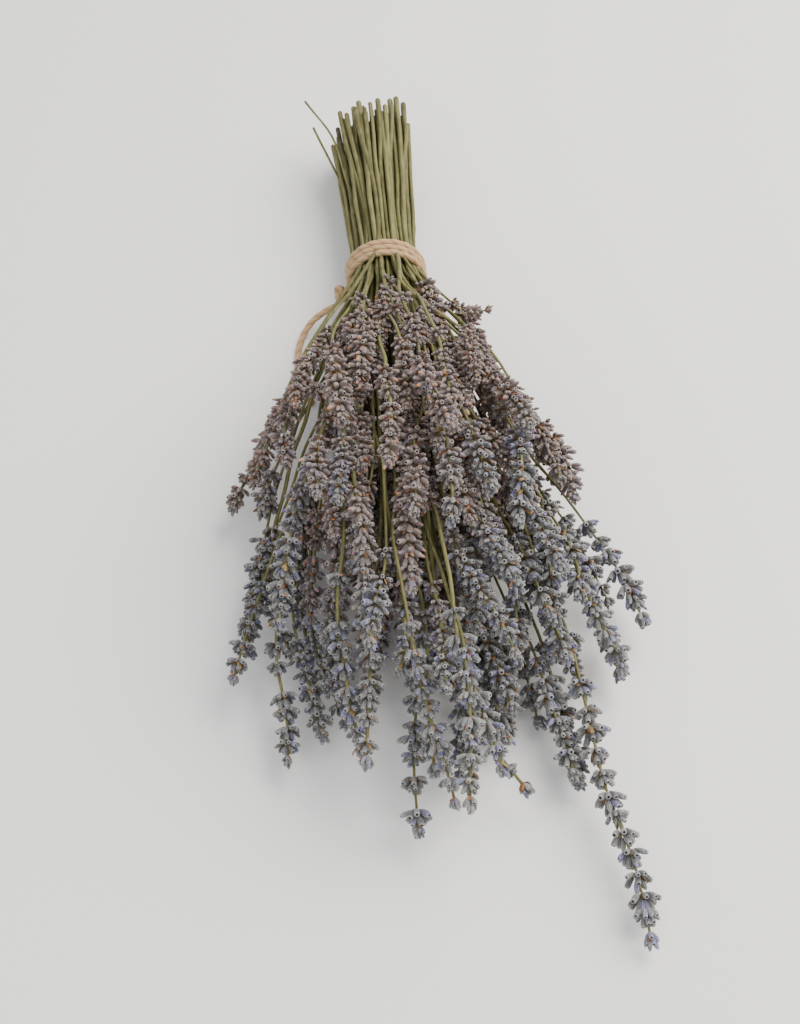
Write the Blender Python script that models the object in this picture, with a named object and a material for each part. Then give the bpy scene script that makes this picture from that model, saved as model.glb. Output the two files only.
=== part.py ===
"""Bunch of dried lavender lying on its side, its cut stems tied with three turns of twine.

The bunch lies along Y: cut ends at +Y, flower tips at -Y, +Z up.
A point of a sprig is given as (along, across, up) in millimetres, where along is counted
from the tie towards the tips. Each sprig is one grown piece: its stem and its flower spike.
"""

import math
import random

import bmesh
import bpy
import numpy as np
from mathutils import Matrix

MM = 0.001

# Stems inside the tie, in millimetres
STEM_PITCH = 3.3      # from one stem to the next
STEM_RINGS = 4        # rings of stems round the middle one
STEM_RADIUS = 1.0
TIE_HEIGHT = 20.0     # middle of the tie above the surface

# Cut ends
CUT_ALONG = -100.0
CUT_RAGGED = 18.0     # how far apart the cut ends lie
CUT_SLANT = 0.45      # the stems on the right are cut longer
CUT_SPREAD = 1.5      # the bundle opens by this much from the tie to the cut ends
CUT_HEIGHT = 17.5

# Flower spikes
WHORL_RADIUS = 5.3
NECK_RADIUS = 2.9     # of a spike between two whorls
WHORL_SPACING = 7.6
GAP = 1.3             # left between neighbouring pieces
TIE_GAP = 0.7         # the same close to the tie
TIP_WANDER = 6.0      # sideways, at the tips of the shorter sprigs

# Twine
TWINE_RADIUS = 1.35
TWINE_TURNS = 3
TWINE_CLEAR = 0.5     # between the stems, the wraps and the knot
KNOT_ANGLE = 205.0    # degrees round the tie from +X, seen from the flower tips
KNOT_RADII = (4.0, 3.6, 3.0)
TAIL = [              # route of the loose end of the twine: (along, across, up)
    (5, -20.5, 10.5), (7, -25, 9.4), (9.5, -29.5, 7.6), (13, -33, 5.0), (18, -35.2, 3.6),
    (24, -36.3, 3.0), (33, -36.6, 2.85), (42, -35.2, 2.85), (50, -32, 2.85),
]
TAIL_STEP = 3.0       # along, between the tail's modelled points

# Sprigs placed by hand: (knee along, across, up, tip along, across, up, spike length).
# The knee is where the sprig starts to droop.
PLACED = [
    (178, 46, 22, 283, 57, 7, 95),
    (163, -52, 22, 215, -42, 8, 55),
    (171, -27, 60, 221, -23, 10, 45),
    (198, -4, 26, 245, -10, 8, 60),
    (177, -9, 62, 241, 4, 9, 55),
    (185, 5, 64, 233, 28, 16, 45),
    (171, 12, 62, 209, 20, 50, 70),
    (150, -20, 64, 195, -17, 42, 60),
    (126, -38, 54, 180, -47, 28, 60),
    (143, -52, 20, 173, -67, 9, 38),
    (98, -48, 26, 120, -59, 22, 22),
    (71, -44, 24, 99, -53, 16, 45),
    (77, 37, 38, 103, 50, 30, 50),
    (101, 52, 32, 129, 54, 26, 38),
    (136, 57, 26, 169, 73, 10, 45),
    (155, 52, 34, 193, 60, 14, 50),
    (153, 60, 18, 189, 68, 8, 40),
    (148, 44, 46, 183, 41, 30, 42),
    (175, 36, 22, 228, 41, 8, 55),
    (179, 24, 18, 207, 28, 8, 45),
    (198, 12, 30, 230, 13, 10, 50),
    (123, 28, 58, 150, 27, 48, 50),
    (158, 33, 44, 195, 25, 24, 48),
    (33, 1, 41, 63, -4, 50, 32),
    (37, 11, 40, 73, 14, 52, 38),
    (37, -12, 38, 73, -19, 48, 38),
    (65, -10, 52, 94, -12, 60, 40),
    (71, 1, 55, 111, 0, 66, 42),
    (89, 12, 62, 125, 11, 72, 45),
    (63, 20, 48, 98, 26, 58, 42),
    (65, -24, 46, 95, -33, 50, 46),
    (83, -20, 56, 117, -25, 63, 45),
    (85, 26, 54, 120, 33, 60, 44),
    (81, -36, 46, 114, -44, 46, 44),
    (111, -4, 68, 143, -8, 72, 44),
    (113, -30, 60, 146, -35, 58, 44),
    (117, 18, 66, 153, 18, 67, 42),
    (124, 6, 62, 160, 10, 60, 46),
    (128, -16, 58, 166, -20, 54, 48),
    (140, 22, 54, 178, 30, 46, 46),
    (142, -2, 62, 181, -3, 58, 50),
]

STEM_GREEN = (0.30, 0.28, 0.11, 1.0)
TWINE_TAN = (0.56, 0.38, 0.24, 1.0)


def clear_scene():
    for obj in list(bpy.data.objects):
        bpy.data.objects.remove(obj, do_unlink=True)


def material(name, colour):
    made = bpy.data.materials.new(name)
    made.use_nodes = True
    shader = made.node_tree.nodes["Principled BSDF"]
    shader.inputs["Base Color"].default_value = colour
    shader.inputs["Roughness"].default_value = 0.9
    made.diffuse_color = colour
    return made


def stem_places():
    """Where the stems pass through the tie: a hexagonal packing without its six corners."""
    places = []
    for i in range(-STEM_RINGS, STEM_RINGS + 1):
        for j in range(-STEM_RINGS, STEM_RINGS + 1):
            across = STEM_PITCH * (i + j / 2)
            up = STEM_PITCH * j * math.sqrt(3) / 2
            if math.hypot(across, up) < STEM_RINGS * STEM_PITCH - 0.2:
                places.append((across, up))
    return places


def hidden_sprigs(count, rng):
    """Knees and tips of the sprigs below and inside the ones placed by hand."""
    rows = []
    for k in range(count):
        ring = math.sqrt((k + 0.5) / count)
        turn = k * math.radians(137.5)
        across = 50 * ring * math.cos(turn)
        up = 24 + 18 * ring * math.sin(turn)
        tip = 198 - 72 * ring + rng.uniform(-14, 14)
        knee = (0.72 * tip, 0.86 * across, up + 2)
        rows.append((*knee, tip, across * 1.08, max(7, 0.6 * up), rng.uniform(40, 58)))
    return rows


def share_out(rows, places):
    """Gives each sprig a place in the tie that lies in its own direction, so that few cross."""
    heading = []
    for knee_along, across, up, *_ in rows:
        heading.append((across / knee_along, (up - TIE_HEIGHT - 10) / knee_along))
    shared, swapped = list(places), True
    while swapped:
        swapped = False
        for i in range(len(rows)):
            for j in range(i):
                turn = [heading[i][n] - heading[j][n] for n in (0, 1)]
                gain = sum((shared[j][n] - shared[i][n]) * turn[n] for n in (0, 1))
                if gain > 1e-9:
                    shared[i], shared[j] = shared[j], shared[i]
                    swapped = True
    return list(zip(rows, shared))


def smooth_through(knots, along):
    """Position at a distance along, on a smooth curve through the knots."""
    last = len(knots) - 1
    i = max(k for k in range(last) if k == 0 or knots[k][0] <= along)
    slopes = []
    for k in (i, i + 1):
        before, after = knots[max(k - 1, 0)], knots[min(k + 1, last)]
        slopes.append([(after[n] - before[n]) / (after[0] - before[0]) for n in (1, 2)])
    start, end = knots[i], knots[i + 1]
    span = end[0] - start[0]
    t = (along - start[0]) / span
    return [
        (2 * t**3 - 3 * t**2 + 1) * start[n + 1] + (t**3 - 2 * t**2 + t) * span * slopes[0][n]
        + (3 * t**2 - 2 * t**3) * end[n + 1] + (t**3 - t**2) * span * slopes[1][n]
        for n in (0, 1)
    ]


def passing_under(row, place):
    """A long sprig of the top layers runs low as far as the short spikes that lie on it."""
    if row[3] < 163 or row[2] < 40:
        return []
    along = 0.5 * row[0]
    low = TIE_HEIGHT + place[1]
    return [(along, (place[0] + row[1]) / 2, low + 0.22 * (row[2] - low))]


def first_paths(shared, steps, rng):
    """Each sprig's middle line at every step, before the sprigs are spread apart."""
    paths, starts, tips, spikes = [], [], [], []
    for row, place in shared:
        cut = CUT_ALONG + rng.uniform(0, CUT_RAGGED) - CUT_SLANT * place[0]
        wander = rng.uniform(-TIP_WANDER, TIP_WANDER) * (row[3] < 175)
        knots = [
            (CUT_ALONG - 8, place[0] * CUT_SPREAD, CUT_HEIGHT + place[1] * CUT_SPREAD),
            (-8, place[0], TIE_HEIGHT + place[1]),
            (8, place[0], TIE_HEIGHT + place[1]),
            *passing_under(row, place),
            row[0:3],
            (row[3], row[4] + wander, row[5]),
        ]
        paths.append([smooth_through(knots, min(along, row[3])) for along in steps])
        starts.append(cut)
        tips.append(row[3])
        spikes.append(row[3] - row[6])
    return np.array(paths), np.array(starts), np.array(tips), np.array(spikes)


def spread_apart(paths, steps, starts, tips, spikes, rounds=550):
    """Pushes the sprigs apart sideways until neither stems nor spikes touch."""
    there = (steps > starts[:, None] - 5) & (steps < tips[:, None] + 5)
    spike = there & (steps > spikes[:, None] - 7)
    radius = np.where(spike, WHORL_RADIUS, STEM_RADIUS) + GAP / 2
    radius = np.where(np.abs(steps) < 24, STEM_RADIUS + TIE_GAP / 2, radius)
    wanted = radius[:, None] + radius[None]
    both = there[:, None] & there[None] & ~np.eye(len(paths), dtype=bool)[..., None]
    free = (np.abs(steps) > 9)[None, :, None]
    for k in range(rounds):
        away = paths[:, None] - paths[None]
        slope = np.gradient(paths, steps, axis=1)
        slope = (slope[:, None] + slope[None]) / 2
        lean = (away * slope).sum(-1) ** 2 / (1 + (slope**2).sum(-1))
        far = np.sqrt(np.maximum((away**2).sum(-1) - lean, 0.01))
        short = np.maximum(wanted - far, 0) * both
        push = (away / far[..., None] * short[..., None]).sum(1)
        paths = paths + 0.35 * free * np.clip(push, -2, 2)
        middle = (paths[:, :-2] + paths[:, 2:]) / 2
        ease = 0.25 * max(0, 1 - 1.25 * k / rounds)
        paths[:, 1:-1] += ease * free[:, 1:-1] * (middle - paths[:, 1:-1])
        paths[..., 1] = np.maximum(paths[..., 1], radius)
    return paths


def spike_profile(start, tip, rng):
    """(along, radius) down a spike: it swells at each whorl and tapers to its tip."""
    count = max(2, round((tip - start) / WHORL_SPACING))
    step = (tip - start) / count
    profile = []
    for k in range(count):
        size = 0.82 + 0.18 * math.sin(math.pi * (k + 0.8) / (count + 0.6))
        size *= rng.uniform(0.94, 1.0)
        profile.append((start + step * k, NECK_RADIUS * size if k else STEM_RADIUS))
        profile.append((start + step * (k + 0.62), WHORL_RADIUS * size))
    profile.append((tip, NECK_RADIUS * 0.75))
    return profile


def tube(name, points, radii, surface, cyclic=False, sides=6):
    """A tube of varying radius along the points, closed by flat ends."""
    curve = bpy.data.curves.new(name, "CURVE")
    curve.dimensions = "3D"
    curve.bevel_depth = MM
    curve.bevel_resolution = (sides - 4) // 2
    curve.use_fill_caps = not cyclic
    spline = curve.splines.new("POLY")
    spline.points.add(len(points) - 1)
    for point, place, radius in zip(spline.points, points, radii):
        point.co = (place[0] * MM, place[1] * MM, place[2] * MM, 1)
        point.radius = radius
    spline.use_cyclic_u = cyclic
    curve.materials.append(surface)
    obj = bpy.data.objects.new(name, curve)
    bunch.objects.link(obj)
    return obj


def make_sprig(name, path, steps, cut, tip, spike, surface, rng):
    """One sprig: a thin stem from its cut end to the spike, then the spike to its tip."""
    bends = [cut, cut / 2, -9, 9]
    bends += [9 + (spike - 9) * part for part in (0.05, 0.12, 0.26, 0.44, 0.64, 0.84)]
    profile = [(along, STEM_RADIUS) for along in bends] + spike_profile(spike, tip, rng)
    points = []
    for along, _ in profile:
        across = np.interp(along, steps, path[:, 0])
        up = np.interp(along, steps, path[:, 1])
        points.append((across, -along, up))
    return tube(name, points, [radius for _, radius in profile], surface)


def make_wraps(surface, bundle_radius):
    """The turns of twine round the stems. Both ends stop just short of the knot."""
    ring = bundle_radius + TWINE_CLEAR + TWINE_RADIUS
    pitch = 2 * TWINE_RADIUS + 0.25
    begin = math.radians(KNOT_ANGLE + 14)
    sweep = math.radians(360 * TWINE_TURNS - 28)
    count = 22 * TWINE_TURNS
    turns = []
    for k in range(count + 1):
        turn = begin + sweep * k / count
        along = pitch * TWINE_TURNS * (k / count - 0.5)
        turns.append((ring * math.cos(turn), along, TIE_HEIGHT + ring * math.sin(turn)))
    tube("twine_wraps", turns, [TWINE_RADIUS] * len(turns), surface)
    return ring + TWINE_RADIUS


def make_knot(surface, outside):
    """The knot, a lump that sits on the outside of the wraps."""
    turn = math.radians(KNOT_ANGLE)
    far = outside + TWINE_CLEAR + KNOT_RADII[2]
    bm = bmesh.new()
    bmesh.ops.create_icosphere(bm, subdivisions=2, radius=1)
    bmesh.ops.scale(bm, vec=[size * MM for size in KNOT_RADII], verts=bm.verts)
    bmesh.ops.rotate(bm, matrix=Matrix.Rotation(math.pi / 2 - turn, 3, "Y"), verts=bm.verts)
    middle = (far * math.cos(turn) * MM, 0, (TIE_HEIGHT + far * math.sin(turn)) * MM)
    bmesh.ops.translate(bm, vec=middle, verts=bm.verts)
    mesh = bpy.data.meshes.new("twine_knot")
    bm.to_mesh(mesh)
    bm.free()
    mesh.materials.append(surface)
    bunch.objects.link(bpy.data.objects.new("twine_knot", mesh))


def make_tail(surface):
    """The loose end of the twine, which arches out from the knot and lies on the surface."""
    count = round((TAIL[-1][0] - TAIL[0][0]) / TAIL_STEP)
    points = []
    for along in np.linspace(TAIL[0][0], TAIL[-1][0], count):
        across, up = smooth_through(TAIL, along)
        points.append((across, -along, up))
    tube("twine_tail", points, [TWINE_RADIUS] * len(points), surface, sides=8)


def settle():
    """Moves everything so that the origin is the middle of the underside, the tail left out."""
    bpy.context.view_layer.update()
    graph = bpy.context.evaluated_depsgraph_get()
    corners = []
    for obj in bunch.objects:
        if obj.name == "twine_tail":
            continue
        mesh = obj.evaluated_get(graph).to_mesh()
        places = np.empty(3 * len(mesh.vertices))
        mesh.vertices.foreach_get("co", places)
        corners += [places.reshape(-1, 3).min(0), places.reshape(-1, 3).max(0)]
    low, high = np.min(corners, 0), np.max(corners, 0)
    print("box, mm:", np.round(low / MM, 1), np.round(high / MM, 1))
    for obj in bunch.objects:
        obj.location = (-(low[0] + high[0]) / 2, -(low[1] + high[1]) / 2, -low[2])


clear_scene()
rng = random.Random(23)
bunch = bpy.data.collections.new("dried_lavender_bunch")
bpy.context.scene.collection.children.link(bunch)
sprig_surface = material("dried_lavender", STEM_GREEN)
twine_surface = material("jute_twine", TWINE_TAN)

places = stem_places()
rows = PLACED + hidden_sprigs(len(places) - len(PLACED), rng)
shared = share_out(rows, places)
steps = np.arange(CUT_ALONG - 12, 289, 4.0)
paths, starts, tips, spikes = first_paths(shared, steps, rng)
paths = spread_apart(paths, steps, starts, tips, spikes)
for number, path in enumerate(paths):
    make_sprig(
        f"lavender_sprig_{number + 1:02d}", path, steps,
        starts[number], tips[number], spikes[number], sprig_surface, rng,
    )
bundle_radius = max(math.hypot(*place) for place in places) + STEM_RADIUS
make_knot(twine_surface, make_wraps(twine_surface, bundle_radius))
make_tail(twine_surface)
settle()
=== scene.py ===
# %% [markdown]
# # A bunch of dried lavender
# A florist ties about a hundred and fifty dried sprigs with three turns of jute twine and lays
# the bunch on a table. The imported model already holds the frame: fifty-five plain sprigs, the
# twine's wraps, its knot and its loose end. This notebook keeps every one of them in its place
# and gives it its real surface: ribbed little flowers with open mouths, papery bracts, square
# stems with pale cut ends, and twine laid from two strands. Between the framed sprigs it adds
# the ones that fill the rest of the bunch.

import math
import random

import bmesh
import bpy
import numpy as np
from mathutils import Matrix, Vector


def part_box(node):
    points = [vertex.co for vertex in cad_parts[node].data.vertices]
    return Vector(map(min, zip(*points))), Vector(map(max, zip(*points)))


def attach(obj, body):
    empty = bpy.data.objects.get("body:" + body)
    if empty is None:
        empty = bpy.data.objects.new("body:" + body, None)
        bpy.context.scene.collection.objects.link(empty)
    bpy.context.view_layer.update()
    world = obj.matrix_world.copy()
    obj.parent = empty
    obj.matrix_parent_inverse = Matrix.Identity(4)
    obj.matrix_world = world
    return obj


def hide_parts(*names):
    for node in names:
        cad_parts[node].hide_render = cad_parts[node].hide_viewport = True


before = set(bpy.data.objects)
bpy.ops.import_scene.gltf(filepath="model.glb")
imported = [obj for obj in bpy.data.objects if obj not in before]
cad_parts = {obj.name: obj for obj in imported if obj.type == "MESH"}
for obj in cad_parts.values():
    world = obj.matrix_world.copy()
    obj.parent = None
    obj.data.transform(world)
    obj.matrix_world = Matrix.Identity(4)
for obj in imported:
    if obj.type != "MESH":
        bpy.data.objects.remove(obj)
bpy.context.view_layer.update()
MM = 0.001
rng = random.Random(5)
sprig_nodes = sorted(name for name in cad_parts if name.startswith("lavender_sprig"))

# %% [markdown]
# ## Camera
# The viewer stands at the flower end and looks down on the bunch at fifty degrees, a little from
# its left. A long lens keeps the far cut ends from shrinking too much. The camera is placed by
# what it aims at, its distance and its two angles, which is easier to reason about than a place.
# Everything is measured from the middle of the tie, because that is where the bunch begins.

# %% Camera
TIE_HEIGHT = 20     # mm from the table to the middle of the tie
wraps_low, wraps_high = (Vector(corner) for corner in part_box("twine_wraps"))
TIE = (wraps_low + wraps_high) / 2
CAMERA_DISTANCE = 653 * MM
CAMERA_HEADING = math.radians(-4.5)
CAMERA_PITCH = math.radians(50)
CAMERA_LENS = 63.3
CAMERA_AIM = (104.6, -2.85, 1)     # along, across, up, in mm


def from_tie(along, across, up):
    """A place given in mm: along from the tie to the tips, across, and up from the table."""
    return TIE + Vector((across, -along, up - TIE_HEIGHT)) * MM


def add_camera():
    data = bpy.data.cameras.new("camera")
    data.sensor_fit = "VERTICAL"
    data.sensor_height = 36
    data.lens = CAMERA_LENS
    data.clip_start = 0.01
    camera = bpy.data.objects.new("camera", data)
    bpy.context.scene.collection.objects.link(camera)
    turn = Matrix.Rotation(CAMERA_HEADING, 4, "Z")
    tilt = Matrix.Rotation(math.pi / 2 - CAMERA_PITCH, 4, "X")
    back = Matrix.Translation((0, 0, CAMERA_DISTANCE))
    camera.matrix_world = Matrix.Translation(from_tie(*CAMERA_AIM)) @ turn @ tilt @ back
    bpy.context.scene.camera = camera
    return camera


camera = add_camera()
print("camera at, mm:", [round(v / MM) for v in camera.matrix_world.translation])

# %% [markdown]
# ## Sweeping a ring along a line
# Twine, stems and the knot are all one move: a ring is carried along a line and changes its
# shape as it goes. The ring is turned as little as possible from one place to the next, so that
# a strand or a rib never jumps round the line.

# %% Lines and sweeps


def smooth_line(knots, count):
    """Evenly spread places on a smooth curve through the knots, as one array."""
    knots = np.array([tuple(knot) for knot in knots])
    far = np.concatenate([[0], np.cumsum(np.linalg.norm(np.diff(knots, axis=0), axis=1))])
    slopes = np.gradient(knots, far, axis=0)
    places = []
    for at in np.linspace(0, far[-1], count):
        i = min(int(np.searchsorted(far, at, "right")) - 1, len(knots) - 2)
        span = far[i + 1] - far[i]
        t = (at - far[i]) / span
        places.append((2 * t**3 - 3 * t**2 + 1) * knots[i] + (t**3 - 2 * t**2 + t) * span * slopes[i]
                      + (3 * t**2 - 2 * t**3) * knots[i + 1] + (t**3 - t**2) * span * slopes[i + 1])
    return np.array(places)


def frames_along(places):
    """A matrix at every place, +Z along the line, twisted as little as possible."""
    headings = [Vector(h).normalized() for h in np.gradient(places, axis=0)]
    turn = headings[0].to_track_quat("Z", "Y")
    frames = []
    for k, place in enumerate(places):
        if k:
            turn = headings[k - 1].rotation_difference(headings[k]) @ turn
        frames.append(Matrix.Translation(Vector(place)) @ turn.to_matrix().to_4x4())
    return frames


def sweep(bm, frames, sides, radius_at):
    """Extrudes a closed ring from frame to frame; radius_at(k, turn) shapes each ring.

    Gives back the new faces, and for each corner (ring number, turn round the line)."""
    ring = bmesh.ops.create_circle(bm, cap_ends=True, segments=sides, radius=1)["verts"]
    turns = {vert: (0, math.atan2(vert.co.y, vert.co.x)) for vert in ring}
    faces = [ring[0].link_faces[0]]
    edges = list(faces[0].edges)
    for k, frame_k in enumerate(frames):
        if k:
            grown = bmesh.ops.extrude_edge_only(bm, edges=edges)["geom"]
            ring = [g for g in grown if isinstance(g, bmesh.types.BMVert)]
            faces += [g for g in grown if isinstance(g, bmesh.types.BMFace)]
            for vert in ring:
                near = [turns.get(edge.other_vert(vert)) for edge in vert.link_edges]
                turns[vert] = next((k, old[1]) for old in near if old and old[0] == k - 1)
            edges = [g for g in grown if isinstance(g, bmesh.types.BMEdge)
                     and all(turns[v][0] == k for v in g.verts)]
        for vert in ring:
            turn = turns[vert][1]
            radius = radius_at(k, turn)
            vert.co = frame_k @ Vector((math.cos(turn) * radius, math.sin(turn) * radius, 0))
    faces += bmesh.ops.contextual_create(bm, geom=edges)["faces"]
    bmesh.ops.recalc_face_normals(bm, faces=faces)
    return faces, turns


def paint_uv(bm, faces, turns, along_of, twist_of):
    """UV map of a sweep: U runs round the line, V along it, in the units of along_of."""
    grain = bm.loops.layers.uv["grain"]
    for face in faces:
        home = turns[face.verts[0]][1]
        for loop in face.loops:
            k, turn = turns[loop.vert]
            turn = home + (turn - home + math.pi) % (2 * math.pi) - math.pi
            loop[grain].uv = ((turn - twist_of(k)) / (2 * math.pi), along_of(k))


def finish_piece(bm, name, materials):
    """Makes the piece's object, which rides on the frame's one body."""
    mesh = bpy.data.meshes.new(name)
    bm.to_mesh(mesh)
    bm.free()
    for material in materials:
        mesh.materials.append(material)
    mesh.shade_smooth()
    piece = bpy.data.objects.new(name, mesh)
    bpy.context.scene.collection.objects.link(piece)
    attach(piece, "root")
    return piece


print("helpers are ready")

# %% [markdown]
# ## Colours and nodes
# Colours are easiest to choose as hex values and shaders want them linear, so one function turns
# them. A second one adds any node, sets it up and links it, which keeps each material short
# enough to read in one go.

# %% Colour and node helpers


def srgb(text):
    """A hex colour as the linear colour that shaders want."""
    parts = [int(text[i:i + 2], 16) / 255 for i in (1, 3, 5)]
    return [p / 12.92 if p <= 0.04045 else ((p + 0.055) / 1.055) ** 2.4 for p in parts] + [1.0]


def add_node(tree, kind, inputs=None, **settings):
    """Adds a node, sets it up, and fills or links its inputs, which go by name or number."""
    made = tree.nodes.new(kind)
    for name, value in settings.items():
        setattr(made, name, value)
    for key, value in (inputs or {}).items():
        if isinstance(value, bpy.types.NodeSocket):
            tree.links.new(value, made.inputs[key])
        else:
            made.inputs[key].default_value = value
    return made


def new_material(name):
    """An empty material: its tree, and its output node to link to."""
    made = bpy.data.materials.new(name)
    made.use_nodes = True
    made.node_tree.nodes.clear()
    return made, made.node_tree, made.node_tree.nodes.new("ShaderNodeOutputMaterial")


print("linear mid grey:", round(srgb("#808080")[0], 3))

# %% [markdown]
# ## The twine
# The tie is jute twine 2.7 mm thick, laid from two strands. Seen closely its section is two
# rounds side by side that turn as they go, so the ring that is swept has two lobes, and one full
# turn takes 9 mm. Its surface is combed fibre: matt and tan, with painted shade in the hollows
# between strands. Where the ring is thin between the lobes, an attribute called tint says so to
# the material, which paints the shade there.

# %% Jute
TWINE_RADIUS = 1.35 * MM
TWINE_LAY = 9.0 * MM          # length of one full turn of the two strands
FIBRE = 0.25 * MM             # width of a visible bundle of fibres
FIBRE_LENGTH = 20 / 7 * MM    # how far such a bundle can be followed
WORN_PATCH = 6 * MM           # size of the browner, worn patches
TWINE_SIDES = 12
WAIST = 0.76                  # radius between the two lobes, as a part of the radius on them
END_ROUNDING = 0.8            # the last ring of a cut end, the same


def jute_fibre():
    """Jute: a coarse plant fibre with a dull silk sheen that frays into fine hairs."""
    material, tree, out = new_material("jute_twine")
    grain = add_node(tree, "ShaderNodeUVMap", uv_map="grain").outputs["UV"]
    place = add_node(tree, "ShaderNodeTexCoord").outputs["Object"]
    around = 2 * math.pi * TWINE_RADIUS / FIBRE
    combed = add_node(tree, "ShaderNodeMapping", {
        "Vector": grain, "Scale": (around, 1 / FIBRE_LENGTH, 1)})
    fibre = add_node(tree, "ShaderNodeTexNoise", {0: combed.outputs[0], "Scale": 1.0, "Detail": 3.0})
    patch = add_node(tree, "ShaderNodeTexNoise", {0: place, "Scale": 1 / WORN_PATCH, "Detail": 2.0})
    body = add_node(tree, "ShaderNodeMix", {0: fibre.outputs[0], 6: srgb("#8C6E4C"), 7: srgb("#D3B188")},
                    data_type="RGBA").outputs[2]
    worn = add_node(tree, "ShaderNodeMapRange", {0: patch.outputs[0], 1: 0.35, 2: 0.7, 4: 0.5}).outputs[0]
    body = add_node(tree, "ShaderNodeMix", {0: worn, 6: body, 7: srgb("#BF9769")},
                    data_type="RGBA").outputs[2]
    # painted shade: the hollows between the two strands, where the ring is thin, are darkened to dark brown
    hollow = add_node(tree, "ShaderNodeAttribute", attribute_name="tint").outputs["Fac"]
    strand_shade = add_node(tree, "ShaderNodeMapRange", {0: hollow, 1: 0.0, 2: 0.6, 3: 0.75, 4: 0.0}).outputs[0]
    body = add_node(tree, "ShaderNodeMix", {0: strand_shade, 6: body, 7: srgb("#5E4228")},
                    data_type="RGBA").outputs[2]
    bump = add_node(tree, "ShaderNodeBump", {
        "Height": fibre.outputs[0], "Strength": 0.7, "Distance": 0.15 * MM})
    shader = add_node(tree, "ShaderNodeBsdfPrincipled", {
        "Base Color": body, "Roughness": 0.9, "Normal": bump.outputs[0],
        "Sheen Weight": 0.15, "Sheen Roughness": 0.5, "Specular IOR Level": 0.25,
    })
    tree.links.new(shader.outputs[0], out.inputs["Surface"])
    return material


def lay_twine(name, places):
    """Twine along the places: two strands swept as one ring with two lobes."""
    bm = bmesh.new()
    bm.loops.layers.uv.new("grain")
    tint = bm.verts.layers.float_color.new("tint")
    lengths = np.concatenate([[0], np.cumsum(np.linalg.norm(np.diff(places, axis=0), axis=1))])
    ends = len(places) - 1

    def lobe(k, turn):
        return abs(math.cos(turn - 2 * math.pi * lengths[k] / TWINE_LAY))

    def radius_at(k, turn):
        rounded = END_ROUNDING if k in (0, ends) else 1.0
        return TWINE_RADIUS * rounded * (WAIST + (1 - WAIST) * lobe(k, turn) ** 0.7)

    faces, turns = sweep(bm, frames_along(places), TWINE_SIDES, radius_at)
    for vert, (k, turn) in turns.items():
        # the lobe value, 1 on a strand and 0 between them, from which the material paints shade in the
        # hollows
        vert[tint] = (lobe(k, turn),) * 3 + (1,)
    paint_uv(bm, faces, turns, lambda k: lengths[k], lambda k: 2 * math.pi * lengths[k] / TWINE_LAY)
    return finish_piece(bm, name, [jute])


jute = jute_fibre()
print("twine:", 2 * TWINE_RADIUS / MM, "mm thick, one turn in", TWINE_LAY / MM, "mm")

# %% [markdown]
# ## The loose end, the wraps and the knot
# The loose end is a free cord: limp, 54 mm long, cut off plainly. It leaves the knot, drops to
# the table and lies there in one slow curve. The wraps are three turns round the stems, and the
# knot is an overhand knot, drawn as a trefoil, the closed form of the same crossing.

# %% Loose end, wraps and knot
TAIL_ROUTE = [   # along, across, up, in mm
    (5, -20.5, 10.5), (7, -25, 9.4), (9.5, -29.5, 7.6), (13, -33, 5.0), (18, -35.2, 3.6),
    (24, -36.3, 3.0), (33, -36.6, 2.85), (42, -35.2, 2.85), (50, -32, 2.85),
]
TAIL_LENGTH = 54.5 * MM
TWINE_STEP = 0.7 * MM
WRAP_TURNS = 3
KNOT_ANGLE = math.radians(205)
KNOT_ROOM = math.radians(14)  # from the knot's middle to the first and the last of the wraps
KNOT_SIZE = 2.7 * MM
KNOT_OPENING = 0.05           # radians of the trefoil left open at each end

tail_line = smooth_line([from_tie(*knot) for knot in TAIL_ROUTE], round(TAIL_LENGTH / TWINE_STEP))
tail = lay_twine("twine_loose_end", tail_line)
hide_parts("twine_tail")


def wrap_line():
    """The helix of the wraps, from just after the knot to just before it."""
    ring = (wraps_high.x - wraps_low.x) / 2 - TWINE_RADIUS
    length = wraps_high.y - wraps_low.y - 2 * TWINE_RADIUS
    sweep_angle = 2 * math.pi * WRAP_TURNS - 2 * KNOT_ROOM
    turns = np.linspace(0, 1, round(ring * sweep_angle / TWINE_STEP))
    angles = KNOT_ANGLE + KNOT_ROOM + sweep_angle * turns
    return np.stack([TIE.x + ring * np.cos(angles), TIE.y + length * (turns - 0.5),
                     TIE.z + ring * np.sin(angles)], axis=1)


def knot_line():
    """A trefoil as large as the framed knot, flat against the wraps."""
    low, high = (Vector(corner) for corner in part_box("twine_knot"))
    tilt = Matrix.Rotation(math.pi / 2 - KNOT_ANGLE, 3, "Y")
    t = np.linspace(KNOT_OPENING, 2 * math.pi - KNOT_OPENING, 70)
    loops = np.stack([np.sin(t) + 2 * np.sin(2 * t), np.cos(t) - 2 * np.cos(2 * t),
                      -1.5 * np.sin(3 * t)], axis=1)
    return np.array([tuple((low + high) / 2 + tilt @ Vector(p) * KNOT_SIZE / 3) for p in loops])


wraps = lay_twine("twine_wrap", wrap_line())
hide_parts("twine_wraps")
knot = lay_twine("overhand_knot", knot_line())
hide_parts("twine_knot")
print("twine faces:", len(tail.data.polygons), len(wraps.data.polygons), len(knot.data.polygons))

# %% [markdown]
# ## Floor and light
# Dried flowers show their relief best in soft light from one side. One wide lamp high on the
# right gives the pale rims and soft shadows, and an even grey sky keeps the shadows open.

# %% Floor, sky and lamps
FLOOR_SIZE = 6.0


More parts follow.
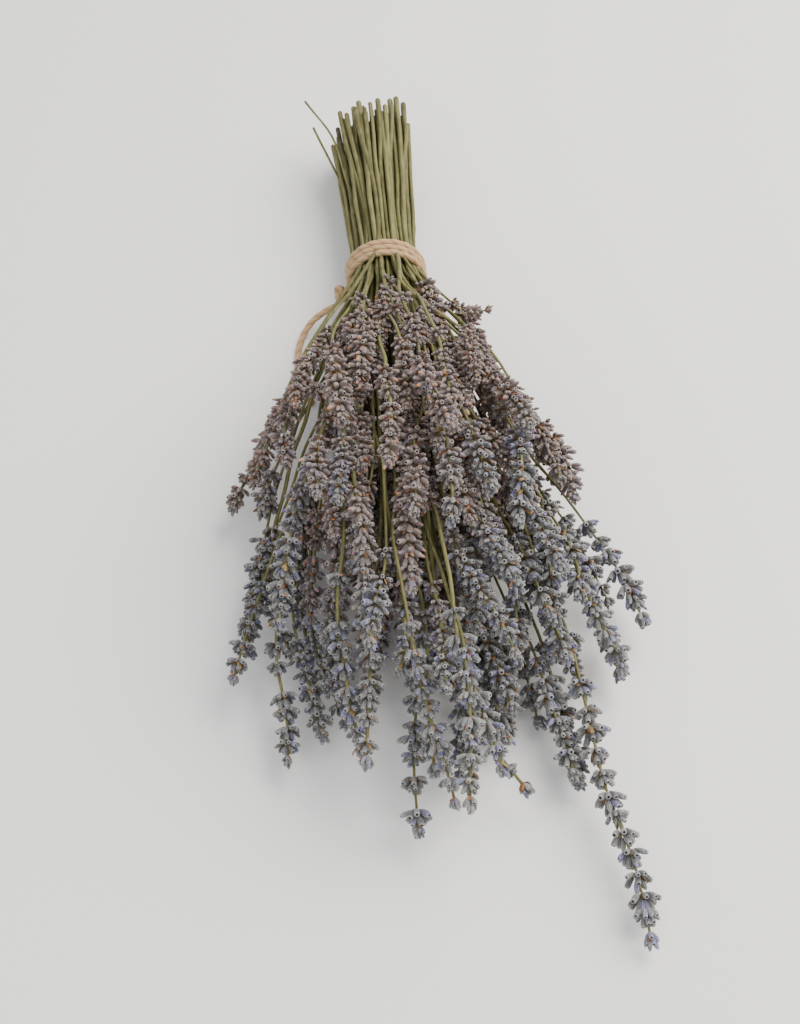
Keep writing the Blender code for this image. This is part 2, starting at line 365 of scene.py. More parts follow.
def add_floor():
    bm = bmesh.new()
    bmesh.ops.create_grid(bm, x_segments=1, y_segments=1, size=FLOOR_SIZE / 2)
    mesh = bpy.data.meshes.new("floor")
    bm.to_mesh(mesh)
    bm.free()
    floor = bpy.data.objects.new("floor", mesh)
    bpy.context.scene.collection.objects.link(floor)
    material, tree, out = new_material("pale_table")
    shader = add_node(tree, "ShaderNodeBsdfPrincipled", {"Base Color": srgb("#E9E8E5"), "Roughness": 0.85})
    tree.links.new(shader.outputs[0], out.inputs["Surface"])
    mesh.materials.append(material)


def add_lamp(name, place, aim, size, power, colour):
    data = bpy.data.lights.new(name, "AREA")
    data.shape = "DISK"
    data.size = size
    data.energy = power
    data.color = srgb(colour)[:3]
    lamp = bpy.data.objects.new(name, data)
    bpy.context.scene.collection.objects.link(lamp)
    lamp.location = place
    lamp.rotation_euler = (Vector(aim) - Vector(place)).to_track_quat("-Z", "Y").to_euler()


def add_sky(colour, strength):
    world = bpy.data.worlds.new("sky")
    world.use_nodes = True
    world.node_tree.nodes["Background"].inputs["Color"].default_value = srgb(colour)
    world.node_tree.nodes["Background"].inputs["Strength"].default_value = strength
    bpy.context.scene.world = world


add_floor()
add_sky("#EAEBEE", 0.98)
add_lamp("window", (0.75, 0.25, 1.0), (0, 0, 0), 1.4, 34, "#FFFCF7")
add_lamp("fill", (-0.5, -0.8, 0.9), (0, 0, 0), 1.2, 6.5, "#F8F9FF")
print("floor, sky and two lamps are ready")

# %% [markdown]
# ## Reading the sprigs' middle lines
# Every framed sprig is a tube that swells at its spike. Cutting it with planes across the bunch
# gives its middle and its thickness at each step, which is all a detailed sprig needs. Nothing
# has to be copied out of the frame, and a change to the frame carries over by itself.

# %% Middle lines
STEP = 4 * MM


def sections(node):
    """(places, radii) along a node, from its cut end to its tip, one every STEP."""
    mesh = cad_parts[node].data
    corners = np.empty(3 * len(mesh.vertices), np.float32)
    mesh.vertices.foreach_get("co", corners)
    mesh.calc_loop_triangles()
    faces = np.empty(3 * len(mesh.loop_triangles), np.int32)
    mesh.loop_triangles.foreach_get("vertices", faces)
    triangles = corners.reshape(-1, 3).astype(float)[faces.reshape(-1, 3)]
    low, high = triangles[..., 1].min(), triangles[..., 1].max()
    places, radii = [], []
    for y in np.linspace(high - 0.2 * MM, low + 0.2 * MM, max(3, round((high - low) / STEP))):
        crossing = []
        for a, b in ((0, 1), (1, 2), (2, 0)):
            start, end = triangles[:, a], triangles[:, b]
            cut = (start[:, 1] > y) != (end[:, 1] > y)
            part = (y - start[cut, 1]) / (end[cut, 1] - start[cut, 1])
            crossing.append(start[cut] + part[:, None] * (end[cut] - start[cut]))
        points = np.concatenate(crossing)
        middle = points.mean(0)
        places.append(middle)
        radii.append(np.linalg.norm(points - middle, axis=1).mean())
    return np.array(places), np.array(radii)


def eased(places, rounds=6):
    """The same line with its small corners smoothed away, its ends kept."""
    places = places.copy()
    for _ in range(rounds):
        places[1:-1] += 0.5 * ((places[:-2] + places[2:]) / 2 - places[1:-1])
    return places


lines, spike_starts = [], []
for node in sprig_nodes:
    places, radii = sections(node)
    first = int(np.argmax(radii > 1.7 * MM))
    lines.append(eased(places))
    spike_starts.append(places[first, 1])
print("spikes are", round(min(len(l) for l in lines) * STEP / MM), "to",
      round(max(len(l) for l in lines) * STEP / MM), "mm from cut end to tip")

# %% [markdown]
# ## The sprigs in between
# In the tie the framed stems stand in a hexagonal packing with room for two thinner stems
# between every three. Each such gap gets a sprig whose line is the mean of its three neighbours,
# so it fans out with them. The new sprigs are then pushed off the framed ones and each other.

# %% Sprigs between the framed ones
TIE_Y = TIE.y
STEM_GAP = 3.3 * MM           # from one framed stem to the next, in the tie
SPIKE_REACH = 4.6 * MM        # how near a spike's middle line another may come
STEM_REACH = 0.95 * MM        # the same for a bare stem
TIE_REACH = 9 * MM            # nothing is pushed this close to the tie
FIRST_FLOWER = 46 * MM        # from the tie to the first flowers of the added sprigs
LOOSE_END_REACH = 92          # mm from the tie, along the bunch, to just past the loose end
LOOSE_END_SIDE = -23          # mm across, where the loose end comes out from under the stems


def at_y(line, y):
    """Where a line crosses the plane at y; past its tip it goes straight on."""
    ys = -line[:, 1]
    if -y <= ys[-1]:
        return np.array([np.interp(-y, ys, line[:, 0]), y, np.interp(-y, ys, line[:, 2])])
    slope = (line[-1] - line[-6]) / (line[-1, 1] - line[-6, 1])
    return line[-1] + slope * (y - line[-1, 1])


def gaps_in_tie():
    """Triples of framed sprigs that stand as a small triangle in the tie."""
    middles = [at_y(line, TIE_Y) for line in lines]
    near = [[j for j, other in enumerate(middles) if 0 < np.linalg.norm(other - m) < 1.25 * STEM_GAP]
            for m in middles]
    return [(i, j, k) for i in range(len(middles)) for j in near[i] if j > i
            for k in near[j] if k > j and k in near[i]]


def line_between(triple):
    """The mean of three framed lines, from a cut end to a tip of its own.

    A third of them are short and flower not far from the tie."""
    three = [lines[i] for i in triple]
    start = max(line[0, 1] for line in three) - rng.uniform(-3, 9) * MM
    tips = sorted(line[-1, 1] for line in three)
    tip = tips[1] + rng.uniform(-0.6, 0.45) * min(30 * MM, tips[2] - tips[0])
    if rng.random() < 0.3:
        tip = max(tip, TIE_Y - rng.uniform(88, 132) * MM)
    count = max(3, round((start - tip) / STEP))
    return np.array([np.mean([at_y(line, y) for line in three], 0) for y in np.linspace(start, tip, count)])


def push_apart(framed, framed_spikes, added, added_spikes, rounds=90):
    """Moves the added lines sideways, off the framed ones and off each other."""
    ys = np.arange(-0.2, 0.2, STEP * 1.5)
    every, starts = framed + added, framed_spikes + added_spikes
    path = np.array([[at_y(line, max(y, line[-1, 1]))[[0, 2]] for y in ys] for line in every])
    here = np.array([[line[-1, 1] - 3 * MM < y < line[0, 1] + 3 * MM for y in ys] for line in every])
    spike = np.array([[y < start for y in ys] for start in starts])
    radius = np.where(spike, SPIKE_REACH, STEM_REACH)
    wanted = radius[:, None] + radius[None]
    both = here[:, None] & here[None] & ~np.eye(len(every), dtype=bool)[..., None]
    movable = (np.arange(len(every)) >= len(framed))[:, None] & (np.abs(ys - TIE_Y) > TIE_REACH)
    for _ in range(rounds):
        away = path[:, None] - path[None]
        far = np.sqrt((away**2).sum(-1) + 1e-9)
        push = (away / far[..., None] * (np.maximum(wanted - far, 0) * both)[..., None]).sum(1)
        path += 0.4 * np.clip(push, -2 * MM, 2 * MM) * movable[..., None]
        middle = (path[:, :-2] + path[:, 2:]) / 2
        path[:, 1:-1] += 0.3 * (middle - path[:, 1:-1]) * movable[:, 1:-1, None]
        path[..., 1] = np.maximum(path[..., 1], radius * movable)
    for number, line in enumerate(added, len(framed)):
        line[:, 0] = np.interp(line[:, 1], ys, path[number, :, 0])
        line[:, 2] = np.interp(line[:, 1], ys, path[number, :, 1])


def hides_loose_end(line, spike_y):
    """Whether a spike would lie over the twine's loose end, on the bunch's left."""
    along, across = (TIE_Y - line[:, 1]) / MM, (line[:, 0] - TIE.x) / MM
    near_it = (along < LOOSE_END_REACH) & (across < LOOSE_END_SIDE)
    return bool(np.any((line[:, 1] < spike_y) & near_it))


added = [line_between(triple) for triple in gaps_in_tie()]
added_spikes = [min(line[-1, 1] + rng.uniform(34, 56) * MM, TIE_Y - FIRST_FLOWER) for line in added]
push_apart(lines, spike_starts, added, added_spikes)
kept = [not hides_loose_end(line, spike_y) for line, spike_y in zip(added, added_spikes)]
added = [eased(line, 16) for line, keep in zip(added, kept) if keep]
added_spikes = [spike_y for spike_y, keep in zip(added_spikes, kept) if keep]
print(len(added), "sprigs added between the framed ones")

# %% [markdown]
# ## A few stragglers
# A bunch is never quite tidy. Short sprigs slip in on top, close to the tie, one long stem lies
# across the others, and a single floret stands off on its own thin stalk. Two thin stems stick
# out at the cut ends, and low sprigs on the left fill the space under the others. These are laid
# one by one, each through a few listed places.

# %% Stragglers
STRAGGLERS = [   # places (along, across, up), where the flowers start, whorl size
    ([(-90, 9, 33), (0, 6, 31.5), (14, 10, 35), (28, 15, 39), (56, 19, 42)], 30, 0.85),
    ([(-84, -3, 35), (0, -2, 33), (14, -3, 37), (28, -4, 44), (62, -9, 48)], 36, 0.9),
    ([(-92, 3, 35), (0, 2, 33), (16, 3, 38), (34, 2, 47), (74, 6, 56)], 44, 0.95),
    ([(-86, -10, 33), (0, -6, 31), (16, -8, 35), (38, -12, 45), (70, -17, 51)], 44, 0.95),
    ([(-88, 6, 35), (0, 4, 33.5), (18, 4, 41), (33, 3, 47), (50, 16, 47), (63, 29, 44), (84, 40, 41),
      (124, 54, 34)], 86, 0.9),
    ([(-80, 12, 30), (0, 9, 28), (22, 14, 31), (38, 21, 36), (44, 27, 41), (46, 35, 45)], 41.5, 0.7),
    ([(-90, -13, 31), (0, -9, 29), (30, -22, 33), (60, -36, 33), (86, -46, 28), (108, -52, 22)], 80, 0.9),
    ([(-82, 14, 29), (0, 10, 27), (18, 17, 30), (36, 25, 33), (64, 30, 32)], 30, 0.85),
    ([(-86, -6, 36), (0, -4, 34), (24, -12, 42), (56, -28, 47), (80, -37, 46), (92, -31, 50), (96, -17, 56)],
     82, 0.95),
    ([(-104, -27, 27), (-84, -18, 26), (-50, -12, 26), (0, -8, 27), (40, -14, 30), (80, -20, 34)], 60, 0.8),
    ([(-96, -24, 19), (-60, -15, 20), (0, -10, 22), (40, -14, 26), (80, -24, 28)], 60, 0.8),
    ([(-88, -12, 28), (0, -9, 27), (40, -24, 26), (90, -42, 22), (130, -51, 18), (158, -56, 14)], 116, 1.0),
    ([(-84, -9, 26), (0, -7, 25), (60, -26, 24), (120, -38, 20), (168, -41, 16), (188, -39, 13)], 138, 1.0),
    ([(-90, -6, 30), (0, -4, 26), (60, -16, 30), (120, -24, 26), (168, -29, 16), (190, -32, 13)], 136, 1.0),
    ([(-80, -10, 24), (0, -8, 24), (60, -30, 24), (110, -45, 20), (150, -51, 16), (174, -50, 13)], 124, 1.0),
    ([(-82, -4, 22), (0, -3, 24), (70, -12, 24), (130, -17, 22), (176, -20, 16), (197, -22, 14)], 150, 1.0),
    ([(-86, 1, 26), (0, 1, 24), (70, -4, 28), (130, -8, 26), (172, -6, 18), (196, -4, 14)], 146, 1.0),
    ([(-84, 8, 28), (0, 5, 26), (70, 6, 36), (130, 4, 39), (180, 6, 33), (205, 12, 26), (220, 21, 20),
      (233, 32, 16)], 178, 0.95),
    ([(-86, -5, 22), (0, -7, 22), (70, -26, 22), (130, -40, 18), (176, -42, 14), (207, -37, 12)], 156, 1.0),
    ([(-88, -8, 24), (0, -6, 22), (70, -24, 24), (130, -36, 20), (180, -35, 15), (202, -30, 12)], 156, 1.0),
    ([(-80, -14, 26), (0, -9, 25), (40, -26, 25), (72, -43, 21), (96, -53, 17), (111, -58, 13)], 99, 0.95),
]
straggler_lines, straggler_spikes = [], []
for knots, first_flower, _ in STRAGGLERS:
    route = [from_tie(*knot) for knot in knots]
    far = sum((route[k + 1] - route[k]).length for k in range(len(route) - 1))
    straggler_lines.append(smooth_line(route, round(far / STEP)))
    straggler_spikes.append(TIE.y - first_flower * MM)
print(len(straggler_lines), "stragglers")

# %% [markdown]
# ## One flower
# A dried lavender flower is a felted, ribbed tube 3 to 4 mm long, the calyx. It is a small
# barrel: it swells in the middle and draws in to a thick beaded rim, and its mouth, a hollow in
# shade, is painted dark. The template is a ring swept up the outside, over the rim and down into
# the mouth. Its UV map runs round the tube and along this path, so that one material can paint
# ribs, rim and mouth.

# %% Flower templates
FLOWER_SIDES, STEM_SIDES = 6, 8
OPEN_CALYX = [   # height and radius in mm, place along the path
    (0.0, 0.34, 0.0), (1.0, 0.8, 0.26), (2.3, 0.97, 0.55), (3.5, 0.86, 0.8),
    (3.92, 0.66, 0.89), (3.76, 0.36, 0.95), (3.1, 0.32, 1.0),
]
SHUT_CALYX = [
    (0.0, 0.32, 0.0), (1.1, 0.76, 0.28), (2.5, 0.9, 0.56), (3.6, 0.6, 0.78), (4.1, 0.22, 0.88),
]
PETAL_SCRAP = [(3.0, 0.25, 0.0), (4.0, 0.62, 0.5), (4.9, 0.5, 0.8), (5.1, 0.2, 1.0)]
STEM_SLOT, CALYX_SLOT, BRACT_SLOT, PETAL_SLOT, PITH_SLOT = range(5)


def turned(name, profile, slot, rib):
    """A small closed shape swept up a profile, with a rib on every other side."""
    bm = bmesh.new()
    bm.loops.layers.uv.new("grain")
    frames = [Matrix.Translation((0, 0, height * MM)) for height, _, _ in profile]
    faces, turns = sweep(bm, frames, FLOWER_SIDES, lambda k, turn:
                         profile[k][1] * MM * (1 + rib * math.cos(turn * FLOWER_SIDES / 2)))
    paint_uv(bm, faces, turns, lambda k: profile[k][2], lambda k: 0)
    for face in bm.faces:
        face.smooth = True
        face.material_index = slot
    mesh = bpy.data.meshes.new(name)
    bm.to_mesh(mesh)
    bm.free()
    return mesh


open_calyx = turned("open_calyx", OPEN_CALYX, CALYX_SLOT, 0.06)
shut_calyx = turned("shut_calyx", SHUT_CALYX, CALYX_SLOT, 0.08)
petal_scrap = turned("petal_scrap", PETAL_SCRAP, PETAL_SLOT, 0.3)
print("an open flower has", len(open_calyx.polygons), "faces")

# %% [markdown]
# ## One bract
# Below each ring of flowers sits a pair of bracts: papery brown scales, broad at the base, drawn
# out to a point and cupped round the flowers. A small grid is bent into shape, and a solidify
# turns it into a thin scale.

# %% Bract template
BRACT_LENGTH, BRACT_WIDTH, BRACT_THICKNESS = 3.6 * MM, 2.7 * MM, 0.14 * MM


def bract_mesh():
    bm = bmesh.new()
    grain = bm.loops.layers.uv.new("grain")
    bmesh.ops.create_grid(bm, x_segments=2, y_segments=4, size=0.5)
    for vert in bm.verts:
        across, along = vert.co.x * 2, vert.co.y + 0.5
        width = BRACT_WIDTH / 2 * (math.sin(math.pi * (0.16 + 0.84 * along**0.8)) ** 0.9 + 0.02)
        cup = 0.5 * MM * (across**2) * (1 - along * 0.4) + 0.9 * MM * along**2
        vert.co = Vector((across * width, -cup, along * BRACT_LENGTH))
    bmesh.ops.solidify(bm, geom=bm.faces, thickness=BRACT_THICKNESS)
    bmesh.ops.recalc_face_normals(bm, faces=bm.faces)
    for face in bm.faces:
        face.smooth = True
        face.material_index = BRACT_SLOT
        for loop in face.loops:
            loop[grain].uv = (0.5 + loop.vert.co.x / BRACT_WIDTH, loop.vert.co.z / BRACT_LENGTH)
    mesh = bpy.data.meshes.new("bract")
    bm.to_mesh(mesh)
    bm.free()
    return mesh


bract = bract_mesh()
print("a bract has", len(bract.polygons), "faces")

# %% [markdown]
# ## Colours of the dried plant
# Lavender that dried in the light turns taupe with rusty scraps, the rest keeps a cool grey with
# a breath of violet. So each flower, bract and stem carries its own colour in an attribute
# called tint, mixed from a few pairs of colours, and the materials only draw the surface on it.
# The grey flowers' tint also holds painted light and shade: paler at the tips and on the right,
# darker in the thick of the bunch.

# %% Plant colours
COLOURS = {name: [np.array(srgb(text)) for text in pair] for name, pair in {
    "grey flower": ("#38393B", "#787874"),
    "taupe flower": ("#5C4437", "#957263"),
    "violet flower": ("#4E4E70", "#71708F"),
    "grey bract": ("#76603E", "#A0855A"),
    "rust bract": ("#86502F", "#B07A50"),
    "violet petal": ("#5C5790", "#827EAE"),
    "rust petal": ("#A9683B", "#C88D5C"),
    "stem": ("#55522F", "#777346"),
}.items()}


BROWN_REACH = 166     # mm from the tie to where the brown is half gone, in the middle
BROWN_FADE = 45       # mm from all brown to all grey


def shade_of(name, dice):
    dark, light = COLOURS[name]
    return dark + (light - dark) * dice.random()


def dried(brown, grey_name, brown_name, dice):
    """A colour between the grey and the brown side of the bunch, as tint wants it."""
    grey, taupe = shade_of(grey_name, dice), shade_of(brown_name, dice)
    return tuple(grey + (taupe - grey) * brown)


def brownness(place, shift):
    """1 near the tie, where the flowers dried brown, 0 out at the tips and the sides."""
    along, across = (TIE.y - place.y) / MM, (place.x - TIE.x) / MM
    edge = BROWN_REACH - 1.3 * max(0, across - 4) - 1.25 * max(0, -across - 14) + shift
    return min(1, max(0, 0.5 + (edge - along) / BROWN_FADE))


def painted_light_on_grey(place, brown):
    """Painted light and shade on the grey flowers: paler at the tips and on the right, where the lamp's light
    falls, and darker in the thick of the bunch.
    """
    along, across = (TIE.y - place.y) / MM, (place.x - TIE.x) / MM
    # grey flowers get painted shade (x0.85) in the thick of the bunch and painted light (up to x1.5) where
    # lit
    lit_part = min(1, max(0, (along - 170) / 60, (across - 18) / 30))
    return 1 + (1 - brown) * (0.65 * lit_part - 0.15)


print("a flower at the tips:", [round(c, 2) for c in dried(0, "grey flower", "taupe flower", rng)[:3]])

# %% [markdown]
# ## Materials
# The calyx is felt: fine pale hairs over ribbed tissue, so it is matt, with painted shade in the
# furrows between pale ridges, a pale rim, and a mouth painted nearly black as shade. Real calyces
# have thirteen veins; ten are drawn, because more would be too fine to see. Stems, bracts and
# petals are dry tissue with streaks, and differ only in how wide and how long the streaks are.

# %% Lavender materials
RIBS = 10
HAIR = 0.35 * MM      # drawn about three times as coarse as real felt, so that it shows
PATCH = 5 * MM        # size of the lighter patches on stems, bracts and petals


def felted_calyx():
    """Felted calyx: short hairs scatter the light, so it has no gloss and a pale edge."""
    material, tree, out = new_material("felted_calyx")
    tint = add_node(tree, "ShaderNodeAttribute", attribute_name="tint").outputs["Color"]
    grain = add_node(tree, "ShaderNodeUVMap", uv_map="grain").outputs["UV"]
    around, along, _ = add_node(tree, "ShaderNodeSeparateXYZ", {0: grain}).outputs
    place = add_node(tree, "ShaderNodeTexCoord").outputs["Object"]
    hair = add_node(tree, "ShaderNodeTexNoise", {0: place, "Scale": 1 / HAIR, "Detail": 2.0}).outputs[0]
    wave = add_node(tree, "ShaderNodeMath", {0: around, 1: 2 * math.pi * RIBS}, operation="MULTIPLY")
    wave = add_node(tree, "ShaderNodeMath", {0: wave.outputs[0]}, operation="SINE").outputs[0]
    # painted shade: the furrows between the ten ribs, the bump's hollows, are darkened nearly to black
    furrow_shade = add_node(tree, "ShaderNodeMapRange", {0: wave, 1: 0.2, 2: -0.9, 3: 0.0, 4: 0.8}).outputs[0]
    pale = add_node(tree, "ShaderNodeMix", {0: 0.4, 6: tint, 7: srgb("#D6D2CE")}, data_type="RGBA").outputs[2]
    tuft = add_node(tree, "ShaderNodeMapRange", {0: hair, 1: 0.42, 2: 0.68, 3: 0.0, 4: 0.85}).outputs[0]
    body = add_node(tree, "ShaderNodeMix", {0: tuft, 6: tint, 7: pale}, data_type="RGBA").outputs[2]
    body = add_node(tree, "ShaderNodeMix", {0: furrow_shade, 6: body, 7: srgb("#302E34")},
                    data_type="RGBA").outputs[2]
    foot = add_node(tree, "ShaderNodeMapRange", {0: along, 1: 0.0, 2: 0.35, 3: 0.55, 4: 0.0}).outputs[0]
    body = add_node(tree, "ShaderNodeMix", {0: foot, 6: body, 7: srgb("#6E6A4C")},
                    data_type="RGBA").outputs[2]
    rim = add_node(tree, "ShaderNodeMapRange", {0: along, 1: 0.76, 2: 0.86, 3: 0.0, 4: 0.8}).outputs[0]
    body = add_node(tree, "ShaderNodeMix", {0: rim, 6: body, 7: pale}, data_type="RGBA").outputs[2]
    # painted shade: the inside of the mouth, a recess, is painted nearly black
    mouth_shade = add_node(tree, "ShaderNodeMapRange", {0: along, 1: 0.9, 2: 0.96}).outputs[0]
    body = add_node(tree, "ShaderNodeMix", {0: mouth_shade, 6: body, 7: srgb("#262221")},
                    data_type="RGBA").outputs[2]
    relief = add_node(tree, "ShaderNodeMath", {0: wave, 1: 0.35, 2: hair}, operation="MULTIPLY_ADD")
    bump = add_node(tree, "ShaderNodeBump", {
        "Height": relief.outputs[0], "Strength": 0.7, "Distance": 0.12 * MM})
    shader = add_node(tree, "ShaderNodeBsdfPrincipled", {
        "Base Color": body, "Roughness": 0.95, "Normal": bump.outputs[0],
        "Sheen Weight": 0.28, "Sheen Roughness": 0.6, "Specular IOR Level": 0.15,
    })
    tree.links.new(shader.outputs[0], out.inputs["Surface"])
    return material


def dry_tissue(name, dark, pale, streak_width, streak_length, roughness):
    """Dry plant tissue: streaked along the stem, patchy, and only a little glossy."""
    material, tree, out = new_material(name)
    tint = add_node(tree, "ShaderNodeAttribute", attribute_name="tint").outputs["Color"]
    place = add_node(tree, "ShaderNodeTexCoord").outputs["Object"]
    drawn = add_node(tree, "ShaderNodeMapping", {
        0: place, "Scale": (1 / streak_width, 1 / streak_length, 1 / streak_width)}).outputs[0]
    streak = add_node(tree, "ShaderNodeTexNoise", {0: drawn, "Scale": 1.0, "Detail": 3.0}).outputs[0]
    patch = add_node(tree, "ShaderNodeTexNoise", {0: place, "Scale": 1 / PATCH, "Detail": 2.0}).outputs[0]
    light = add_node(tree, "ShaderNodeMapRange", {0: patch, 1: 0.45, 2: 0.7, 3: 0.0, 4: 0.5}).outputs[0]
    body = add_node(tree, "ShaderNodeMix", {0: light, 6: tint, 7: srgb(pale)}, data_type="RGBA").outputs[2]
    shade = add_node(tree, "ShaderNodeMapRange", {0: streak, 1: 0.48, 2: 0.64, 3: 0.0, 4: 0.6}).outputs[0]
    body = add_node(tree, "ShaderNodeMix", {0: shade, 6: body, 7: srgb(dark)}, data_type="RGBA").outputs[2]
    bump = add_node(tree, "ShaderNodeBump", {"Height": streak, "Strength": 0.6, "Distance": 0.1 * MM})
    shader = add_node(tree, "ShaderNodeBsdfPrincipled", {
        "Base Color": body, "Roughness": roughness, "Normal": bump.outputs[0], "Specular IOR Level": 0.3,
    })
    tree.links.new(shader.outputs[0], out.inputs["Surface"])
    return material


sprig_materials = [
    dry_tissue("dry_stem", "#4A4728", "#8C865A", 0.5 * MM, 14 * MM, 0.7),
    felted_calyx(),
    dry_tissue("papery_bract", "#5E3F28", "#B79A72", 0.7 * MM, 1.4 * MM, 0.8),
    dry_tissue("withered_petal", "#4A3D4C", "#B5A7A6", 0.7 * MM, 0.9 * MM, 0.85),
    dry_tissue("cut_pith", "#6B6440", "#B5AC7E", 0.4 * MM, 0.4 * MM, 0.9),
]
print("materials:", ", ".join(material.name for material in sprig_materials))

# %% [markdown]
# ## Growing a sprig
# A sprig is grown in one mesh. Its stem is square with soft grooves like every mint's, a ring of
# eight corners swept along the middle line. Then each whorl gets its bracts and its flowers: an
# outer ring that leans out like a skirt and an inner ring that points on towards the tip.
# Whorls are close together in brown spikes and further apart in grey ones. A few are missing,
# and four spikes in ten have one whorl standing off by itself, further down the stem.

# %% Sprig helpers
STEM_RADIUS = 1.0 * MM
CLOSE_STEP, OPEN_STEP = 4.4, 6.3     # mm between whorls, brown and grey
OUTER_LEAN, INNER_LEAN = (34, 68), (10, 36)
FLOWER_SIZE = 0.84                   # of the template, on a whorl of size 1
THIN_SIZE, THIN_STEM = 0.85, 0.55    # sprigs smaller than this have stems thinner by this
BARE_TIP = 3 * MM                    # from the last whorl to the end of the middle line


class Line:
    """A middle line measured by its own length."""

    def __init__(self, places):
        self.places = places
        self.lengths = np.concatenate([[0], np.cumsum(np.linalg.norm(np.diff(places, axis=0), axis=1))])
        self.total = self.lengths[-1]

    def place(self, far):
        return Vector([float(np.interp(far, self.lengths, self.places[:, n])) for n in range(3)])

    def heading(self, far):
        reach = 2.5 * MM
        ahead, behind = min(far + reach, self.total), max(far - reach, 0)
        return (self.place(ahead) - self.place(behind)).normalized()

    def length_at_y(self, y):
        return float(np.interp(-y, -self.places[:, 1], self.lengths))


def wavy(places, sway, dice):
    """The line with the small bends of a real stem, none of them inside the tie.

    The cut side stays nearly straight, and the spike bends most, towards its tip."""
    places = places.copy()
    along = (TIE_Y - places[:, 1]) / MM
    free = np.clip((np.abs(along) - 10) / 25, 0, 1) * np.where(along < 0, 0.35, 1)
    towards_tip = np.clip((along - along[-1] + 60) / 60, 0, 1) ** 1.7
    for axis, most, lean in ((0, 1.2, 4.5 * sway), (2, 0.6, 2 * sway)):
        for length, part in ((dice.uniform(70, 110), 1.0), (dice.uniform(30, 50), 0.4)):
            bend = np.sin(along / length * 2 * math.pi + dice.uniform(0, 6.3))
            places[:, axis] += free * bend * part * dice.uniform(0.3, most) * MM
        places[:, axis] += towards_tip * dice.uniform(-lean, lean) * MM
    return places


def stand(place, heading, spin):
    """A matrix that stands a template, made up +Z, along a heading at a place."""
    upright = heading.to_track_quat("Z", "Y").to_matrix().to_4x4()
    return Matrix.Translation(place) @ upright @ Matrix.Rotation(spin, 4, "Z")


def stamp(bm, mesh, matrix, colour):
    """Adds a copy of a template, moved by the matrix and tinted."""
    tint = bm.verts.layers.float_color["tint"]
    before = len(bm.verts)
    bm.from_mesh(mesh)
    bm.verts.ensure_lookup_table()
    fresh = bm.verts[before:]
    bmesh.ops.transform(bm, matrix=matrix, verts=fresh)
    for vert in fresh:
        vert[tint] = colour


def grow_stem(bm, line, end, radius, dice):
    """The square stem, from its pale cut end to the last whorl."""
    tint = bm.verts.layers.float_color["tint"]
    stations = np.linspace(0, end, max(4, round(end / (5 * MM))))
    knots = [dice.uniform(0.2, 0.5), dice.uniform(0.5, 0.75)]

    def radius_at(k, turn):
        part = stations[k] / line.total
        knot = 0.35 * any(abs(part - at) < 0.008 for at in knots)
        return radius * (1 - 0.55 * part) * (1 + knot) * (1 + 0.1 * math.cos(4 * turn))

    frames = frames_along(np.array([line.place(far) for far in stations]))
    faces, turns = sweep(bm, frames, STEM_SIDES, radius_at)
    for face in faces:
        face.material_index = STEM_SLOT
    faces[0].material_index = PITH_SLOT
    colour = tuple(shade_of("stem", dice))
    for vert in turns:
        vert[tint] = colour
    paint_uv(bm, faces, turns, lambda k: stations[k], lambda k: 0)


def grow_flowers(bm, place, heading, size, brown, dice, crown):
    """The flowers of one whorl, an outer and an inner ring."""
    side = heading.orthogonal().normalized()
    side.rotate(Matrix.Rotation(dice.uniform(0, 2 * math.pi), 3, heading))
    other = heading.cross(side)
    outer, inner = (6, 4) if crown else (dice.choice((7, 8, 9)), dice.choice((4, 5, 6)))
    for ring, count, (low, high) in ((0, outer, OUTER_LEAN), (1, inner, INNER_LEAN)):
        for k in range(count):
            turn = 2 * math.pi * (k + ring * 0.5 + dice.uniform(-0.25, 0.25)) / count
            lean = math.radians(dice.uniform(low, high) * (0.6 if crown else 1))
            out = side * math.cos(turn) + other * math.sin(turn)
            aim = (heading * math.cos(lean) + out * math.sin(lean)).normalized()
            foot = dice.uniform(0.3, 0.6) if ring or crown else dice.uniform(0.8, 1.5)
            start = place + (heading * ring * dice.uniform(0.8, 1.6) + out * foot) * size * MM
            wide = FLOWER_SIZE * size * dice.uniform(0.8, 1.1)
            long = FLOWER_SIZE * size * dice.uniform(0.8, 1.15)
            matrix = stand(start, aim, dice.uniform(0, 6.3)) @ Matrix.Diagonal((wide, wide, long, 1))
            if dice.random() < 0.16:
                colour = dried(brown * 0.7, "violet flower", "taupe flower", dice)
            else:
                colour = dried(brown, "grey flower", "taupe flower", dice)
            # painted light and shade on the grey flowers, by where they sit in the bunch
            colour = tuple(part * painted_light_on_grey(place, brown) for part in colour[:3]) + (1,)
            shut = dice.random() < (0.5 if crown else 0.18 + 0.45 * brown)
            stamp(bm, shut_calyx if shut else open_calyx, matrix, colour)
            if not shut and dice.random() < 0.035 + 0.08 * brown:
                stamp(bm, petal_scrap, matrix, dried(brown, "violet petal", "rust petal", dice))


def grow_bracts(bm, place, heading, size, brown, dice):
    """The pair of bracts that cups a whorl from behind."""
    side = heading.orthogonal().normalized()
    side.rotate(Matrix.Rotation(dice.uniform(0, 2 * math.pi), 3, heading))
    for sign in (1, -1):
        out = (side * sign + heading.cross(side) * dice.uniform(-0.4, 0.4)).normalized()
        lean = math.radians(dice.uniform(30, 72))
        aim = (heading * math.cos(lean) + out * math.sin(lean)).normalized()
        hollow = (out * math.cos(lean) - heading * math.sin(lean)).normalized()
        turn = Matrix((hollow.cross(aim), hollow, aim)).transposed().to_4x4()
        matrix = Matrix.Translation(place - heading * 0.4 * MM + out * 0.5 * MM) @ turn
        colour = dried(max(brown, dice.random() < 0.3), "grey bract", "rust bract", dice)
        stamp(bm, bract, matrix @ Matrix.Scale(size * dice.uniform(0.6, 1.1), 4), colour)


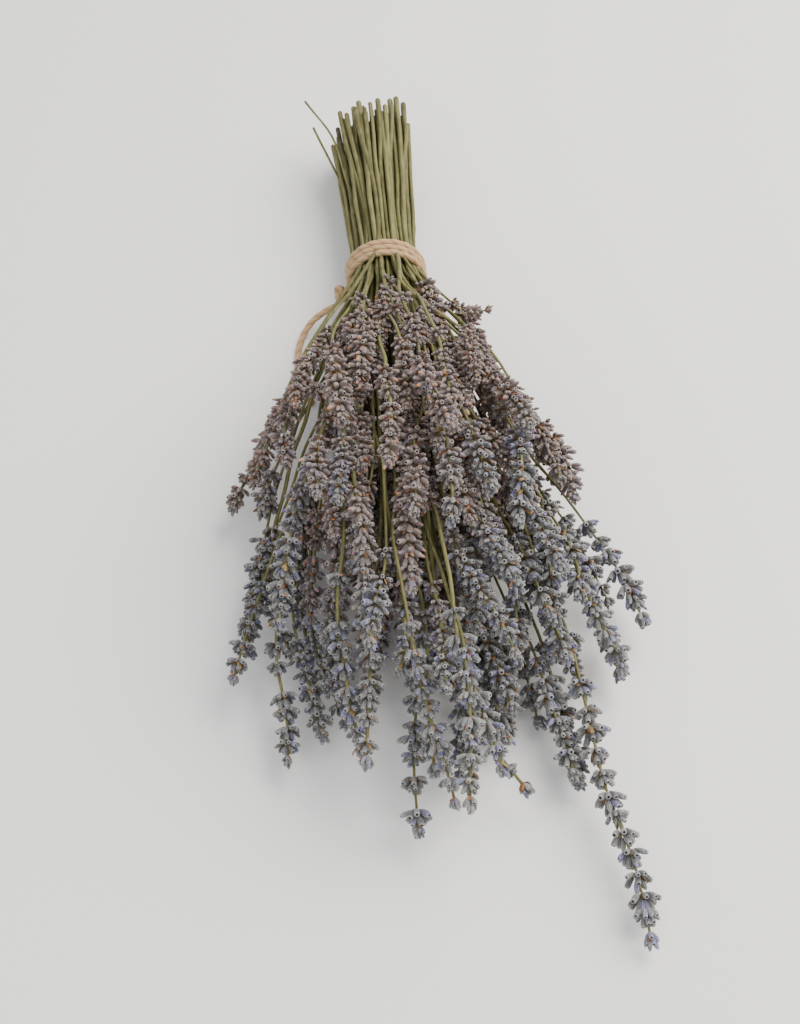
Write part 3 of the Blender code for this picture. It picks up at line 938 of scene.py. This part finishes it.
def grow_sprig(name, places, spike_y, dice, size=1.0, sway=1.0, thin=1.0):
    """A whole sprig as one piece: stem, whorls and crown."""
    line = Line(wavy(places, sway, dice))
    end = line.total - BARE_TIP
    spike = line.length_at_y(spike_y) + dice.uniform(-5, 6) * MM
    shift = dice.gauss(0, 16)
    bm = bmesh.new()
    bm.loops.layers.uv.new("grain")
    bm.verts.layers.float_color.new("tint")
    grow_stem(bm, line, end, thin * STEM_RADIUS * dice.uniform(0.8, 1.12), dice)
    brown = brownness(line.place((spike + end) / 2), shift)
    step = (OPEN_STEP + (CLOSE_STEP - OPEN_STEP) * brown) * dice.uniform(0.88, 1.15) * MM
    count = max(1, round((end - spike) / step))
    far_behind = dice.random() < 0.4
    size *= dice.uniform(0.86, 1.1)
    for k in range(count + 1):
        if 0 < k < count - 1 and dice.random() < 0.06:
            continue
        far = spike + (end - spike) * (k / count) ** 0.9 + dice.uniform(-1.1, 1.1) * MM * (k < count)
        if k == 0 and far_behind:
            far = max(0.5 * spike, spike - dice.uniform(4, 10) * MM)
        place, heading = line.place(far), line.heading(far)
        brown = brownness(place, shift)
        whorl = size * (0.84 + 0.2 * math.sin(math.pi * (k + 1) / (count + 2))) * dice.uniform(0.8, 1.12)
        whorl *= 1.16 - 0.04 * brown
        grow_flowers(bm, place, heading, whorl, brown, dice, k == count)
        grow_bracts(bm, place, heading, whorl, brown, dice)
    for vert in bm.verts:
        vert.co.z = max(vert.co.z, 0.1 * MM)
    return finish_piece(bm, name, sprig_materials)


print("a whorl's lean, outside:", OUTER_LEAN, "inside:", INNER_LEAN)

# %% [markdown]
# ## Every sprig
# A framed sprig grows on its own middle line and takes its node's place. The ones in between
# bend a little more, and the stragglers are laid last. Each has dice of its own, so changing one
# sprig leaves all the others as they are.

# %% Grow every sprig
grown = []
for number, (node, line, spike_y) in enumerate(zip(sprig_nodes, lines, spike_starts)):
    piece = grow_sprig(f"sprig_{number + 1:02d}", line, spike_y, random.Random(100 + number))
    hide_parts(node)
    grown.append(piece)
for number, (line, spike_y) in enumerate(zip(added, added_spikes)):
    dice = random.Random(400 + number)
    grown.append(grow_sprig(f"inner_sprig_{number + 1:02d}", line, spike_y, dice, sway=1.9))
for number, (line, spike_y, (_, _, size)) in enumerate(zip(straggler_lines, straggler_spikes, STRAGGLERS)):
    name = f"straggler_{number + 1:02d}"
    thin = THIN_STEM if size < THIN_SIZE else 1.0
    grown.append(grow_sprig(name, line, spike_y, random.Random(700 + number), size, thin=thin))
sizes = [sum(len(face.vertices) - 2 for face in piece.data.polygons) for piece in grown]
print(len(grown), "sprigs,", sum(sizes), "triangles, the largest", max(sizes))
